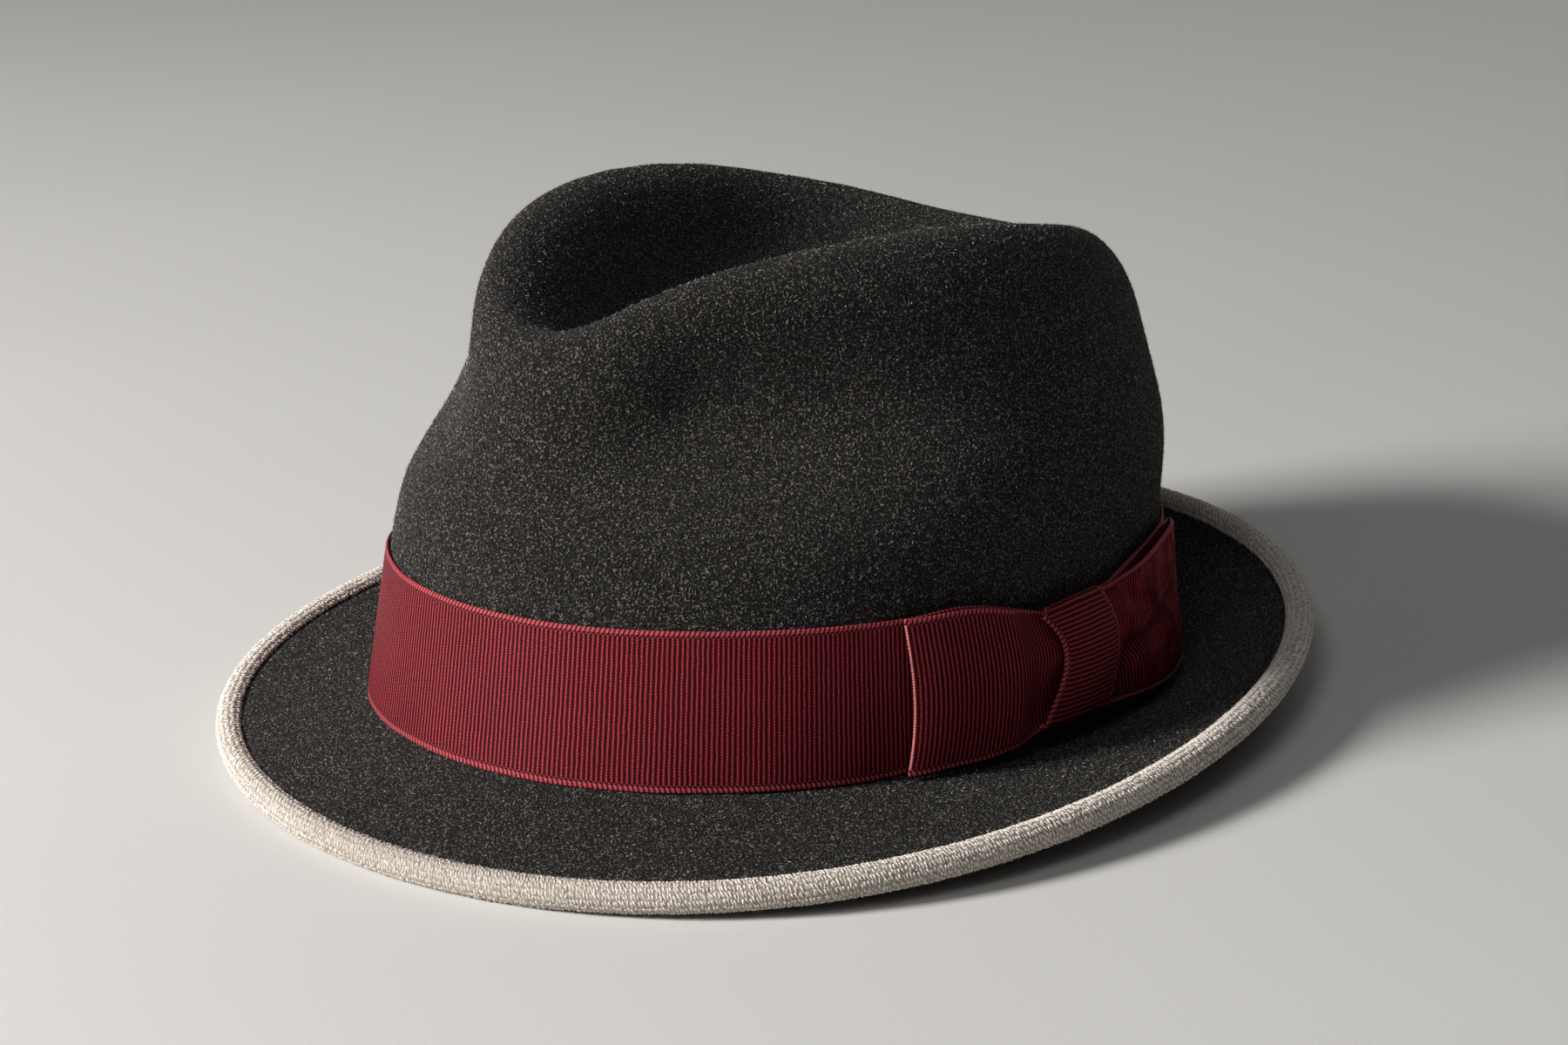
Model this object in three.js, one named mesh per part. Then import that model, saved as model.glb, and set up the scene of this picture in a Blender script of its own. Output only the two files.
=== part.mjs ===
// Trilby hat in felt, with a ribbon band, a flat bow and a corded edge.
//
// Millimetres, +Z up. The hat stands on the plane z = 0 and its box is centred on the Z axis.
// The front of the hat points along -Y and the wearer's left, where the bow is, along +X.
//
// The felt is one surface. Closed oval sections run from the brim edge inwards to the foot of the
// crown, up the wall, over the crest and down into the dent, and a cubic B-spline blends them.
// Everything else is placed on that surface.

import * as THREE from 'three';
import { ParametricGeometry } from 'three/addons/geometries/ParametricGeometry.js';
import { mergeVertices } from 'three/addons/utils/BufferGeometryUtils.js';

// ---------------------------------------------------------------- driving dimensions

const FELT_THICKNESS = 2.0;

const PIPING_RADIUS = 3.4;
const PIPING_SIDES = 10;
const SLOT_GAP = 0.3; // between the felt edge and each side of the piping's slot
const EDGE_BITE = 2.6; // how far the felt edge goes into the piping

const LAYER_GAP = 0.3; // between two layers that lie on each other
const RIBBON_THICKNESS = 1.0;
const RIBBON_FOOT = 1.6; // height of the band's lower edge over the brim
const RIBBON_WIDTH = 33.9;
const BAND_TOP = RIBBON_FOOT + RIBBON_WIDTH;

// The bow. Both loops end under the knot, which gathers them in. end and tuck are in degrees round
// the crown from its front. foot is the height of a loop's lower edge over the brim, and over is
// how far its upper edge stands over the band.
const FRONT_LOOP = {
  end: 67.0,
  tuck: 96.0,
  foot: { end: 1.8, belly: 2.4, tuck: 7.0 },
  over: { end: 0.4, belly: 1.1, tuck: -6.1 },
};
const REAR_LOOP = {
  end: 131.0,
  tuck: 97.0,
  foot: { end: 2.0, belly: 3.2, tuck: 5.6 },
  over: { end: 0.5, belly: 2.2, tuck: -3.6 },
};
const LOOP_THICKNESS = { end: 1.9, belly: 3.8, tuck: 2.4 };
const LOOP_BOW = 1.1; // degrees by which its folded end bends towards the knot at mid height
const KNOT = {
  from: 86.2,
  to: 98.7,
  foot: 6.2, // height of its lower edge over the brim
  over: -1.9, // how far its upper edge stands over the band
  thickness: 1.3,
  puff: 1.5, // how much thicker its middle is
  waist: 4.0, // degrees by which the middle of its front edge stands further back
  back: 2.9, // the same of its rear edge
  waistRise: 1.25, // over 1 sets both above mid height
};

// The knot draws the band in behind the bow too: its lower edge up and its upper edge down.
const GATHER = { at: 95, reachUp: 20, up: 6.6, reachDown: 13, down: 7.2 };

// How the hat stands by itself: on the front of its edge and the back of its head opening.
const LEAN = THREE.MathUtils.degToRad(3.75);
const FOOT_HEIGHT = 7.8; // of the middle of the crown's foot over the plane that it stands on

// ---------------------------------------------------------------- the felt's sections

// One row per section, from the brim edge to the floor of the dent:
//   shift         the section's middle, towards the back
//   length, width half the section's length and width
//   egg           how much narrower its front half is than its back half
//   height, tip, saddle   its height, and what is added as cos(turn) and cos(2 turn)
//   pinchLeft, pinchRight, at   how far the front pinches go in on the wearer's left and right,
//                 as a share, and their place in degrees from the front
//   notch         how far its front is pressed down
const COLUMNS = [
  'name', 'shift', 'length', 'width', 'egg', 'height', 'tip', 'saddle',
  'pinchLeft', 'pinchRight', 'at', 'notch',
];
const SECTION_TABLE = [
  ['brim_edge', 2.0, 134.7, 119.2, -0.08, 2.7, -14.6, -0.6, 0.0, 0.0, 40, 0],
  ['brim_middle', 1.0, 121.0, 103.5, -0.05, 1.2, -6.7, -0.3, 0.0, 0.0, 40, 0],
  ['brim_root', 0.0, 108.5, 89.0, 0.0, 0.0, -0.6, 0.0, 0.0, 0.0, 40, 0],
  ['foot', 0.0, 104.6, 84.0, 0.0, 0.0, 0.0, 0.0, 0.0, 0.0, 40, 0],
  ['wall', 0.0, 104.6, 85.0, 0.0, 5.0, 0.0, 0.0, 0.0, 0.0, 40, 0],
  ['band_top', 0.3, 101.0, 79.5, 0.0, 35.0, 0.0, 0.0, 0.0, 0.0, 40, 0],
  ['lower', 0.0, 98.7, 82.0, 0.03, 51.0, 0.0, 0.0, 0.02, 0.02, 36, 0],
  ['upper', 1.0, 95.0, 80.0, 0.08, 62.5, -2.0, -1.2, 0.13, 0.06, 28, 0],
  ['hollow', 1.5, 89.2, 76.3, 0.06, 78.0, -1.5, -2.0, 0.37, 0.14, 37, 2],
  ['shoulder', 1.8, 85.7, 71.2, 0.05, 99.0, 3.0, -2.6, 0.07, 0.12, 45, 7],
  ['crest', 1.0, 78.5, 56.0, 0.08, 110.4, 3.9, -7.1, 0.04, 0.04, 50, 13],
  ['lip', 4.4, 66.0, 41.0, 0.2, 103.5, 0.9, -6.0, 0.04, 0.04, 46, 12],
  ['dent', 7.0, 56.0, 31.0, 0.2, 91.0, -4.0, -1.0, 0.0, 0.0, 46, 8],
  ['floor', 8.0, 44.0, 13.0, 0.2, 85.0, -6.0, 0.0, 0.0, 0.0, 46, 3],
];
const SECTIONS = SECTION_TABLE.map(
  (row) => Object.fromEntries(row.map((value, i) => [COLUMNS[i], value])),
);

const SQUARENESS = 0.012; // how far an oval's corners are pushed out
const PINCH_REACH = { front: 22, back: 40 }; // degrees
const NOTCH_REACH = 27; // degrees
const SIDE_SHARE = 0.6; // the pinches push the front back by this share of what they push it in

// The surface's parameter counts sections: 0 is the brim edge.
const AT_FOOT = 3;
const AT_UPPER = 7;
const AT_SEAM = SECTIONS.length; // the line along which the dent closes

// How finely the solid follows the surface.
const TURN_STEPS = 56;
const STEPS_AFTER = [1, 2, 2, 2, 2, 1, 2, 2, 2, 3, 3, 2, 2, 1]; // after each section
const BAND_HEIGHTS = [0, 0.22, 0.6, 1]; // shares of a ribbon's width
const BOW_HEIGHTS = [0, 0.2, 0.4, 0.6, 0.8, 1];
const LOOP_STEPS = 12;
const KNOT_STEPS = 8;
const END_NOSE = 0.3; // degrees by which a pad's end line stands out
const NARROW_FROM = 0.25; // share of a loop's length from which it is gathered in
const MIDWAY = 0.5;
const FLATTENED = { from: 0.42, to: 0.66 }; // where it goes from its full thickness to the tuck's
const LEVELS = SECTIONS.flatMap(
  (_, i) => Array.from({ length: STEPS_AFTER[i] }, (_, k) => i + k / STEPS_AFTER[i]),
).concat(AT_SEAM);

// ---------------------------------------------------------------- the felt's surface

const degrees = THREE.MathUtils.radToDeg;
const radians = THREE.MathUtils.degToRad;
const { lerp, smoothstep } = THREE.MathUtils;

// An angle in degrees brought to within half a turn of 0.
function wrapped(angle) {
  return THREE.MathUtils.euclideanModulo(angle + 180, 360) - 180;
}

// A smooth bump of height 1 with its own reach on each side.
function bump(distance, reachBefore, reachAfter) {
  const reach = distance < 0 ? reachBefore : reachAfter;
  return Math.exp(-((distance / reach) ** 2));
}

// The point of one section at a turn from the front towards the wearer's left, in radians.
function sectionPoint(section, turn) {
  const side = Math.sin(turn);
  const front = Math.cos(turn);
  const angle = degrees(turn);
  const { front: before, back: after } = PINCH_REACH;
  const pinch = section.pinchLeft * bump(wrapped(angle - section.at), before, after)
    + section.pinchRight * bump(wrapped(-angle - section.at), before, after);
  const notch = section.notch * bump(wrapped(angle), NOTCH_REACH, NOTCH_REACH);
  const oval = 1 + SQUARENESS * (1 - Math.cos(4 * turn)) / 2;
  return new THREE.Vector3(
    section.width * side * oval * (1 - section.egg * front) * (1 - pinch),
    section.shift - section.length * front * oval * (1 - SIDE_SHARE * pinch),
    section.height + section.tip * front + section.saddle * Math.cos(2 * turn) - notch,
  );
}

// The spline's control point i at a turn: one straight on before the brim edge, one on the seam
// and one mirrored across it, so that the felt starts at its edge and closes smoothly.
function controlPoint(i, turn) {
  if (i === 0) {
    const edge = sectionPoint(SECTIONS[0], turn);
    return edge.multiplyScalar(2).sub(sectionPoint(SECTIONS[1], turn));
  }
  const point = sectionPoint(SECTIONS[Math.min(i, AT_SEAM) - 1], turn);
  point.x *= i <= AT_SEAM ? 1 : AT_SEAM + 1 - i;
  return point;
}

// The outer surface of the felt at a place along the sections and a turn.
function feltSurface(place, turn) {
  const i = Math.min(Math.floor(place), AT_SEAM - 1);
  const t = place - i;
  const weights = [
    (1 - t) ** 3,
    3 * t ** 3 - 6 * t ** 2 + 4,
    -3 * t ** 3 + 3 * t ** 2 + 3 * t + 1,
    t ** 3,
  ];
  const point = new THREE.Vector3();
  weights.forEach((weight, k) => point.addScaledVector(controlPoint(i + k, turn), weight / 6));
  return point;
}

// The surface's axes there: round the crown, inwards from the brim edge, and out of the felt.
function feltAxes(place, turn) {
  const step = 1e-3;
  const at = Math.min(Math.max(place, step), AT_SEAM - 0.02);
  const round = feltSurface(at, turn + step).sub(feltSurface(at, turn - step)).normalize();
  const inward = feltSurface(at + step, turn).sub(feltSurface(at - step, turn)).normalize();
  const out = new THREE.Vector3().crossVectors(round, inward).normalize();
  return { round, inward, out };
}

// The felt's surface pushed in by a depth. At the seam both sides meet on the middle line.
function feltPoint(place, turn, depth) {
  const point = feltSurface(place, turn);
  if (depth > 0) point.addScaledVector(feltAxes(place, turn).out, -depth);
  if (place === AT_SEAM) point.x = 0;
  return point;
}

// The point of the crown wall at a height over the brim, moved out level by a distance.
function wallPoint(turn, height, distance) {
  let low = AT_FOOT - 0.5;
  let high = AT_UPPER;
  for (let i = 0; i < 30; i++) {
    const middle = (low + high) / 2;
    if (feltSurface(middle, turn).z < height) low = middle;
    else high = middle;
  }
  const point = feltSurface(low, turn);
  const { round } = feltAxes(low, turn);
  point.addScaledVector(new THREE.Vector3(-round.y, round.x, 0).normalize(), -distance);
  return point;
}

// ---------------------------------------------------------------- from surfaces to solids

// Leans a point of the level hat back onto the plane that it stands on. What would reach below
// that plane is pressed flat on it.
function stand(point) {
  point.applyAxisAngle(new THREE.Vector3(1, 0, 0), -LEAN);
  point.z = Math.max(point.z + FOOT_HEIGHT, 0);
  return point;
}

// A closed solid from a grid of points. A grid whose first and last columns or rows fall
// together, or whose outer lines fold up on themselves, has no open edge once they are merged.
function gridSolid(pointAt, columns, rows) {
  const geometry = new ParametricGeometry(
    (u, v, target) => target.copy(stand(pointAt(Math.round(u * columns), Math.round(v * rows)))),
    columns,
    rows,
  );
  geometry.deleteAttribute('normal');
  geometry.deleteAttribute('uv');
  const merged = mergeVertices(geometry, 1e-3);
  merged.computeVertexNormals();
  return merged;
}

function piece(name, geometry, material) {
  const mesh = new THREE.Mesh(geometry, material);
  mesh.name = name;
  return mesh;
}

// ---------------------------------------------------------------- materials

const felt = new THREE.MeshStandardMaterial({ color: 0x34302d, roughness: 0.95, metalness: 0 });
const ribbon = new THREE.MeshStandardMaterial({ color: 0x7a1f2b, roughness: 0.6, metalness: 0 });
const twill = new THREE.MeshStandardMaterial({ color: 0xd8cfc2, roughness: 0.85, metalness: 0 });

// ---------------------------------------------------------------- felt body

const turnOf = (column) => 2 * Math.PI * column / TURN_STEPS;

// The shell's section runs along the inside from the seam to the brim edge, round it, and back
// over the top to the seam.
function feltBody() {
  const shell = [...LEVELS].reverse().map((place) => ({ place, depth: FELT_THICKNESS }))
    .concat(LEVELS.map((place) => ({ place, depth: 0 })));
  const pointAt = (column, row) => feltPoint(shell[row].place, turnOf(column), shell[row].depth);
  return piece('felt_body', gridSolid(pointAt, TURN_STEPS, shell.length - 1), felt);
}

// ---------------------------------------------------------------- brim piping

// A round cord with a slot on its inner side, which holds the felt edge.
function brimPiping() {
  const slotHalf = FELT_THICKNESS / 2 + SLOT_GAP;
  const middleOut = PIPING_RADIUS - EDGE_BITE; // from the felt edge out to the cord's middle
  const lip = Math.asin(slotHalf / PIPING_RADIUS);
  const outline = Array.from({ length: PIPING_SIDES + 1 }, (_, i) => {
    const angle = -lip - (2 * Math.PI - 2 * lip) * i / PIPING_SIDES;
    return new THREE.Vector2(Math.cos(angle), Math.sin(angle)).multiplyScalar(PIPING_RADIUS);
  });
  outline.push(new THREE.Vector2(middleOut - SLOT_GAP, slotHalf));
  outline.push(new THREE.Vector2(middleOut - SLOT_GAP, -slotHalf));
  outline.push(outline[0]);
  const pointAt = (column, row) => {
    const turn = turnOf(column);
    const { inward, out } = feltAxes(0, turn);
    return feltPoint(0, turn, FELT_THICKNESS / 2)
      .addScaledVector(inward, outline[row].x - middleOut)
      .addScaledVector(out, outline[row].y);
  };
  return piece('brim_piping', gridSolid(pointAt, TURN_STEPS, outline.length - 1), twill);
}

// ---------------------------------------------------------------- ribbon band

function ribbonBand() {
  const near = LAYER_GAP;
  const far = LAYER_GAP + RIBBON_THICKNESS;
  const outline = BAND_HEIGHTS.map((share) => ({ share, distance: far }))
    .concat([...BAND_HEIGHTS].reverse().map((share) => ({ share, distance: near })));
  outline.push(outline[0]);
  const pointAt = (column, row) => {
    const turn = turnOf(column);
    const { share, distance } = outline[row];
    const off = wrapped(degrees(turn) - GATHER.at);
    const foot = RIBBON_FOOT + GATHER.up * bump(off, GATHER.reachUp, GATHER.reachUp);
    const top = BAND_TOP - GATHER.down * bump(off, GATHER.reachDown, GATHER.reachDown);
    return wallPoint(turn, foot + share * (top - foot), distance);
  };
  return piece('ribbon_band', gridSolid(pointAt, TURN_STEPS, outline.length - 1), ribbon);
}

// ---------------------------------------------------------------- bow

// A flat pad on the crown wall. Each column gives its turn in degrees, its lower and upper edge,
// its near and far face, how many degrees it bends sideways and how far its far face swells. Both
// are greatest at mid height, or above it if rise is over 1. The pad narrows to a line at each end.
function wallPad(name, columns, rise = 1) {
  const across = BOW_HEIGHTS.map((share) => ({ share, isFar: true }))
    .concat([...BOW_HEIGHTS].reverse().map((share) => ({ share, isFar: false })));
  across.push(across[0]);
  const pointAt = (column, row) => {
    const { turn, foot, top, near, far, bend, swell } = columns[column];
    const { share, isFar } = across[row];
    const fullness = Math.sin(Math.PI * share ** rise);
    const distance = isFar ? far + swell * fullness : near;
    return wallPoint(radians(turn + bend * fullness), foot + share * (top - foot), distance);
  };
  return piece(name, gridSolid(pointAt, columns.length - 1, across.length - 1), ribbon);
}

// Columns at even steps from one turn to the other, with a line to close each end.
function padColumns(from, to, steps, sizeAt) {
  const columns = Array.from({ length: steps + 1 }, (_, i) => (
    { turn: from + (to - from) * i / steps, ...sizeAt(i / steps) }
  ));
  const closed = (column, sideways) => {
    const middle = (column.near + column.far) / 2;
    return { ...column, turn: column.turn + sideways, near: middle, far: middle, swell: 0 };
  };
  const nose = END_NOSE * Math.sign(to - from);
  return [closed(columns[0], -nose), ...columns, closed(columns.at(-1), nose)];
}

const OVER_BAND = 2 * LAYER_GAP + RIBBON_THICKNESS; // the bow's near face, from the crown

// A size along a loop: its value at the free end, then at the belly, then at the tuck. The first
// change is done at the share swollen, and the second runs between the shares from and to.
function alongLoop(share, { end, belly, tuck }, swollen, from, to) {
  const first = lerp(end, belly, smoothstep(share, 0, swollen));
  return lerp(first, tuck, smoothstep(share, from, to));
}

// One loop, from its free end to its tuck under the knot.
function bowLoop(name, { end, tuck, foot, over }) {
  const way = Math.sign(tuck - end);
  const edgeAt = (share, size) => alongLoop(share, size, NARROW_FROM, NARROW_FROM, 1);
  const sizeAt = (share) => ({
    foot: edgeAt(share, foot),
    top: BAND_TOP + edgeAt(share, over),
    near: OVER_BAND,
    far: OVER_BAND + alongLoop(share, LOOP_THICKNESS, MIDWAY, FLATTENED.from, FLATTENED.to),
    bend: way * LOOP_BOW * (1 - smoothstep(share, MIDWAY, 1)),
    swell: 0,
  });
  const columns = padColumns(end, tuck, LOOP_STEPS, sizeAt);
  return wallPad(name, way > 0 ? columns : columns.reverse());
}

// The knot lies over the tucks of both loops.
function bowKnot() {
  const near = OVER_BAND + LOOP_THICKNESS.tuck + LAYER_GAP;
  const sizeAt = (share) => ({
    foot: KNOT.foot,
    top: BAND_TOP + KNOT.over,
    near,
    far: near + KNOT.thickness,
    bend: lerp(KNOT.waist, KNOT.back, share),
    swell: KNOT.puff * Math.sin(Math.PI * share),
  });
  return wallPad('bow_knot', padColumns(KNOT.from, KNOT.to, KNOT_STEPS, sizeAt), KNOT.waistRise);
}

// ---------------------------------------------------------------- the hat

const hat = new THREE.Group();
hat.add(feltBody());
hat.add(brimPiping());
hat.add(ribbonBand());
hat.add(bowLoop('bow_front_loop', FRONT_LOOP));
hat.add(bowLoop('bow_rear_loop', REAR_LOOP));
hat.add(bowKnot());

const box = new THREE.Box3().setFromObject(hat);
hat.position.y = -(box.min.y + box.max.y) / 2;
hat.position.x = -(box.min.x + box.max.x) / 2;

export default hat;
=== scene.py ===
import math

import bpy
import numpy as np
from mathutils import Matrix, Vector


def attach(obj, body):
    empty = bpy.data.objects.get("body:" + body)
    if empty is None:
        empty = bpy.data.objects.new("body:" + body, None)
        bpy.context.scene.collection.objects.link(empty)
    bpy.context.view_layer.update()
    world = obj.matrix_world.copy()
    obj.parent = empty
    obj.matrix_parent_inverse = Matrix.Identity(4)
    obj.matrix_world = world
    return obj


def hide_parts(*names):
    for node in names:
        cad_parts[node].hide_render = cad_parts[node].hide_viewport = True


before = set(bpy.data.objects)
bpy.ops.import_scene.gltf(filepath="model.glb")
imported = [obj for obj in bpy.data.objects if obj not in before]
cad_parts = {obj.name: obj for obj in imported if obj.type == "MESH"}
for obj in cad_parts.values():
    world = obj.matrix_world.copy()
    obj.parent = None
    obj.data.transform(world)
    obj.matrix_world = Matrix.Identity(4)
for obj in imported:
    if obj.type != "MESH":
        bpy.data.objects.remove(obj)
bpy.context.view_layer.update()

# Trilby hat: charcoal wool felt, a wine grosgrain band with a flat bow, and an ivory piped edge.
#
# Shapes are worked out in millimetres on the level hat: +Z up, the foot of the crown at z = 0,
# the front along -Y and the wearer's left, where the bow is, along +X. A turn is the angle round
# the crown from its front towards the wearer's left. stand_up() then leans the hat on the floor.

MM = 0.001

# ------------------------------------------------------------------ driving sizes

FELT_THICKNESS = 2.0
PIPING_RADIUS = 3.4
EDGE_BITE = 2.6      # how far the felt goes into the piping
SLOT_GAP = 0.3       # between the felt and the slot in the piping

# The knot draws the band in behind the bow: its lower edge up and its upper edge down.
GATHER = dict(at=95.0, reach_up=20.0, up=6.6, reach_down=13.0, down=7.2)

LAYER_GAP = 0.3      # between two layers that lie on each other
RIBBON_BODY = 0.6    # thickness of the ribbon without its ribs
RIB_HEIGHT = 0.40
RIB_PITCH = 1.12     # from one rib to the next
BAND_FOOT = 0.6      # height of the band's lower edge over the brim
BAND_WIDTH = 34.9
SELVEDGE = 1.0       # width of the looped woven edge

# The bow's loops. end, tuck: degrees round the crown. foot: height of the lower edge over the brim,
# and over: how far the upper edge stands over the band, at the end, the belly and the tuck.
FRONT_LOOP = dict(end=67.0, tuck=96.0, foot=(1.2, 2.2, 7.0), over=(0.4, 1.1, -6.1))
REAR_LOOP = dict(end=131.0, tuck=97.0, foot=(1.6, 3.2, 5.6), over=(0.5, 2.2, -3.6))

# The knot, with left and right in the same degrees. waist, back: how far its left and right edges
# bend to the right at mid height; waist_rise above 1 puts that bend lower. puff: how far it swells.
# dip: how far its upper left corner is drawn down.
KNOT = dict(left=86.2, right=98.7, foot=6.2, over=-1.9, waist=4.0, back=2.9, waist_rise=1.25,
            puff=1.7, dip=1.5)
KNOT_CLEARANCE = 1.0       # between the loops' pleat and the middle of the knot's ribbon
KNOT_CORNER = 1.1          # radius of its turn over the loops' edges
KNOT_CORNER_SHIFT = 1.3    # degrees by which its upper left corner draws in as it turns under
KNOT_TAIL = 0.8            # length of its turned-in ends

LEAN = math.radians(3.75)    # how far the hat leans back as it stands
FOOT_HEIGHT = 7.8            # height of the foot of the crown, at the hat's middle, over the floor

# ------------------------------------------------------------------ the felt's sections

# One row for each oval section, from the brim edge up the crown and down into the dent.
# shift: of its middle towards the back. length, width: its half sizes. egg: share by which the front
# is narrower. height: over the brim. tip: rise of the front, and fall of the back. saddle: rise of the
# front and the back, and fall of the sides. pinch_left, pinch_right: depth of the pinches as a share
# of the width, at so many degrees from the front. notch: how far the front dips.
SECTION_COLUMNS = ("shift", "length", "width", "egg", "height", "tip", "saddle",
                   "pinch_left", "pinch_right", "at", "notch")
SECTIONS = {
    "brim_edge": (2.0, 134.7, 119.2, -0.08, 2.7, -14.6, -0.6, 0.0, 0.0, 40, 0),
    "brim_middle": (1.0, 121.0, 103.5, -0.05, 1.2, -6.7, -0.3, 0.0, 0.0, 40, 0),
    "brim_root": (0.0, 108.5, 89.0, 0.0, 0.0, -0.6, 0.0, 0.0, 0.0, 40, 0),
    "foot": (0.0, 104.6, 84.0, 0.0, 0.0, 0.0, 0.0, 0.0, 0.0, 40, 0),
    "wall": (0.0, 104.6, 85.0, 0.0, 5.0, 0.0, 0.0, 0.0, 0.0, 40, 0),
    "band_top": (0.3, 101.0, 79.5, 0.0, 35.0, 0.0, 0.0, 0.0, 0.0, 40, 0),
    "lower": (0.0, 98.7, 82.0, 0.03, 51.0, 0.0, 0.0, 0.02, 0.02, 36, 0),
    "upper": (1.0, 95.0, 80.0, 0.08, 62.5, -2.0, -1.2, 0.13, 0.06, 28, 0),
    "hollow": (1.5, 89.2, 76.3, 0.06, 78.0, -1.5, -2.0, 0.37, 0.14, 37, 2),
    "shoulder": (1.8, 85.7, 71.2, 0.05, 99.0, 3.0, -2.6, 0.07, 0.12, 45, 7),
    "crest": (1.0, 78.5, 56.0, 0.08, 110.4, 3.9, -7.1, 0.04, 0.04, 50, 13),
    "lip": (4.4, 66.0, 41.0, 0.2, 103.5, 0.9, -6.0, 0.04, 0.04, 46, 12),
    "dent": (7.0, 56.0, 31.0, 0.2, 91.0, -4.0, -1.0, 0.0, 0.0, 46, 8),
    "floor": (8.0, 44.0, 13.0, 0.2, 85.0, -6.0, 0.0, 0.0, 0.0, 46, 3),
}
SIZE = {name: np.array([row[i] for row in SECTIONS.values()], float)
        for i, name in enumerate(SECTION_COLUMNS)}
SQUARENESS = 0.012
PINCH_REACH = dict(front=22, back=40)    # degrees over which a pinch fades out
NOTCH_REACH = 27
SIDE_SHARE = 0.6     # how much of a pinch also draws the felt back
AT_FOOT = 3          # places of these sections in the table
AT_UPPER = 7
AT_SEAM = len(SECTIONS)
FINE_STEP = 1e-3     # of a place or a turn, for directions
SHORT_OF_SEAM = 0.02    # of a place: no direction is taken nearer to the seam
WALL_HALVINGS = 18   # enough to find a height on the wall


def hill(distance, reach_before, reach_after):
    return np.exp(-(distance / np.where(distance < 0, reach_before, reach_after)) ** 2)


def within_half_turn(angle):
    return (angle + 180) % 360 - 180


def section_point(i, turn):
    """Points of the sections numbered i, at a turn in radians."""
    of = {name: column[i] for name, column in SIZE.items()}
    side, front, angle = np.sin(turn), np.cos(turn), np.degrees(turn)
    reach = PINCH_REACH["front"], PINCH_REACH["back"]
    pinch = (of["pinch_left"] * hill(within_half_turn(angle - of["at"]), *reach)
             + of["pinch_right"] * hill(within_half_turn(-angle - of["at"]), *reach))
    notch = of["notch"] * hill(within_half_turn(angle), NOTCH_REACH, NOTCH_REACH)
    oval = 1 + SQUARENESS * (1 - np.cos(4 * turn)) / 2
    return np.stack([
        of["width"] * side * oval * (1 - of["egg"] * front) * (1 - pinch),
        of["shift"] - of["length"] * front * oval * (1 - SIDE_SHARE * pinch),
        of["height"] + of["tip"] * front + of["saddle"] * np.cos(2 * turn) - notch,
    ], -1)


def control_point(i, turn):
    """The spline's points: one before the brim edge, the sections, and two that close the seam."""
    point = section_point(np.clip(i, 1, AT_SEAM) - 1, turn)
    before_edge = 2 * section_point(np.zeros_like(i), turn) - section_point(np.ones_like(i), turn)
    point = np.where((i == 0)[..., None], before_edge, point)
    point[..., 0] *= np.where(i <= AT_SEAM, 1, AT_SEAM + 1 - i)
    return point


def felt_surface(place, turn):
    """The felt's outer surface. place counts sections from the brim edge, 0, to the dent's seam."""
    place, turn = np.broadcast_arrays(place, turn)
    i = np.minimum(np.floor(place).astype(int), AT_SEAM - 1)
    t = place - i
    weights = ((1 - t) ** 3,
               3 * t ** 3 - 6 * t ** 2 + 4,
               -3 * t ** 3 + 3 * t ** 2 + 3 * t + 1,
               t ** 3)
    return sum(w[..., None] * control_point(i + k, turn) for k, w in enumerate(weights)) / 6


def unit(vectors):
    return vectors / np.linalg.norm(vectors, axis=-1, keepdims=True)


def felt_axes(place, turn):
    """Round the crown, inwards from the brim edge, and out of the felt."""
    at = np.clip(place, FINE_STEP, AT_SEAM - SHORT_OF_SEAM)
    round_crown = unit(felt_surface(at, turn + FINE_STEP) - felt_surface(at, turn - FINE_STEP))
    inward = unit(felt_surface(at + FINE_STEP, turn) - felt_surface(at - FINE_STEP, turn))
    return round_crown, inward, unit(np.cross(round_crown, inward))


def wall_point(turn, height, distance):
    """The point of the crown wall at a height over the brim, moved out level by a distance."""
    turn, height, distance = np.broadcast_arrays(turn, height, distance)
    low = np.full(turn.shape, AT_FOOT - 0.5)
    high = np.full(turn.shape, float(AT_UPPER))
    for _ in range(WALL_HALVINGS):
        middle = (low + high) / 2
        under = felt_surface(middle, turn)[..., 2] < height
        low = np.where(under, middle, low)
        high = np.where(under, high, middle)
    point = felt_surface(low, turn)
    round_crown, _, _ = felt_axes(low, turn)
    level_out = unit(np.stack([round_crown[..., 1], -round_crown[..., 0], 0 * height], -1))
    return point + level_out * distance[..., None]


def leant(points):
    """Points of the level hat, leant back so that it rests on its front edge and its back foot."""
    x, y, z = np.moveaxis(np.asarray(points, float), -1, 0)
    c, s = math.cos(LEAN), math.sin(LEAN)
    return np.stack([x, y * c + z * s, z * c - y * s + FOOT_HEIGHT], -1)


def stand_up(points):
    """leant(), centred on the frame, flat on the floor where it would go through it, in metres."""
    points = leant(points) + (0, MIDDLE_SHIFT, 0)
    points[..., 2] = np.maximum(points[..., 2], 0)
    return points * MM


def smooth(value, start, end):
    t = np.clip((value - start) / (end - start), 0, 1)
    return t * t * (3 - 2 * t)


def unevenness(points, wavelength, seed):
    """A smooth wave through space, from about -1 to 1, for what is bent or pressed by hand."""
    rng = np.random.default_rng(seed)
    count = 7
    directions = unit(rng.normal(size=(count, 3))) * rng.uniform(0.6, 1.4, (count, 1))
    phases = rng.uniform(0, 2 * math.pi, count)
    waves = np.sin(2 * math.pi / wavelength * (points @ directions.T) + phases)
    return waves.sum(-1) / 4


# ------------------------------------------------------------------ meshes

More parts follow.
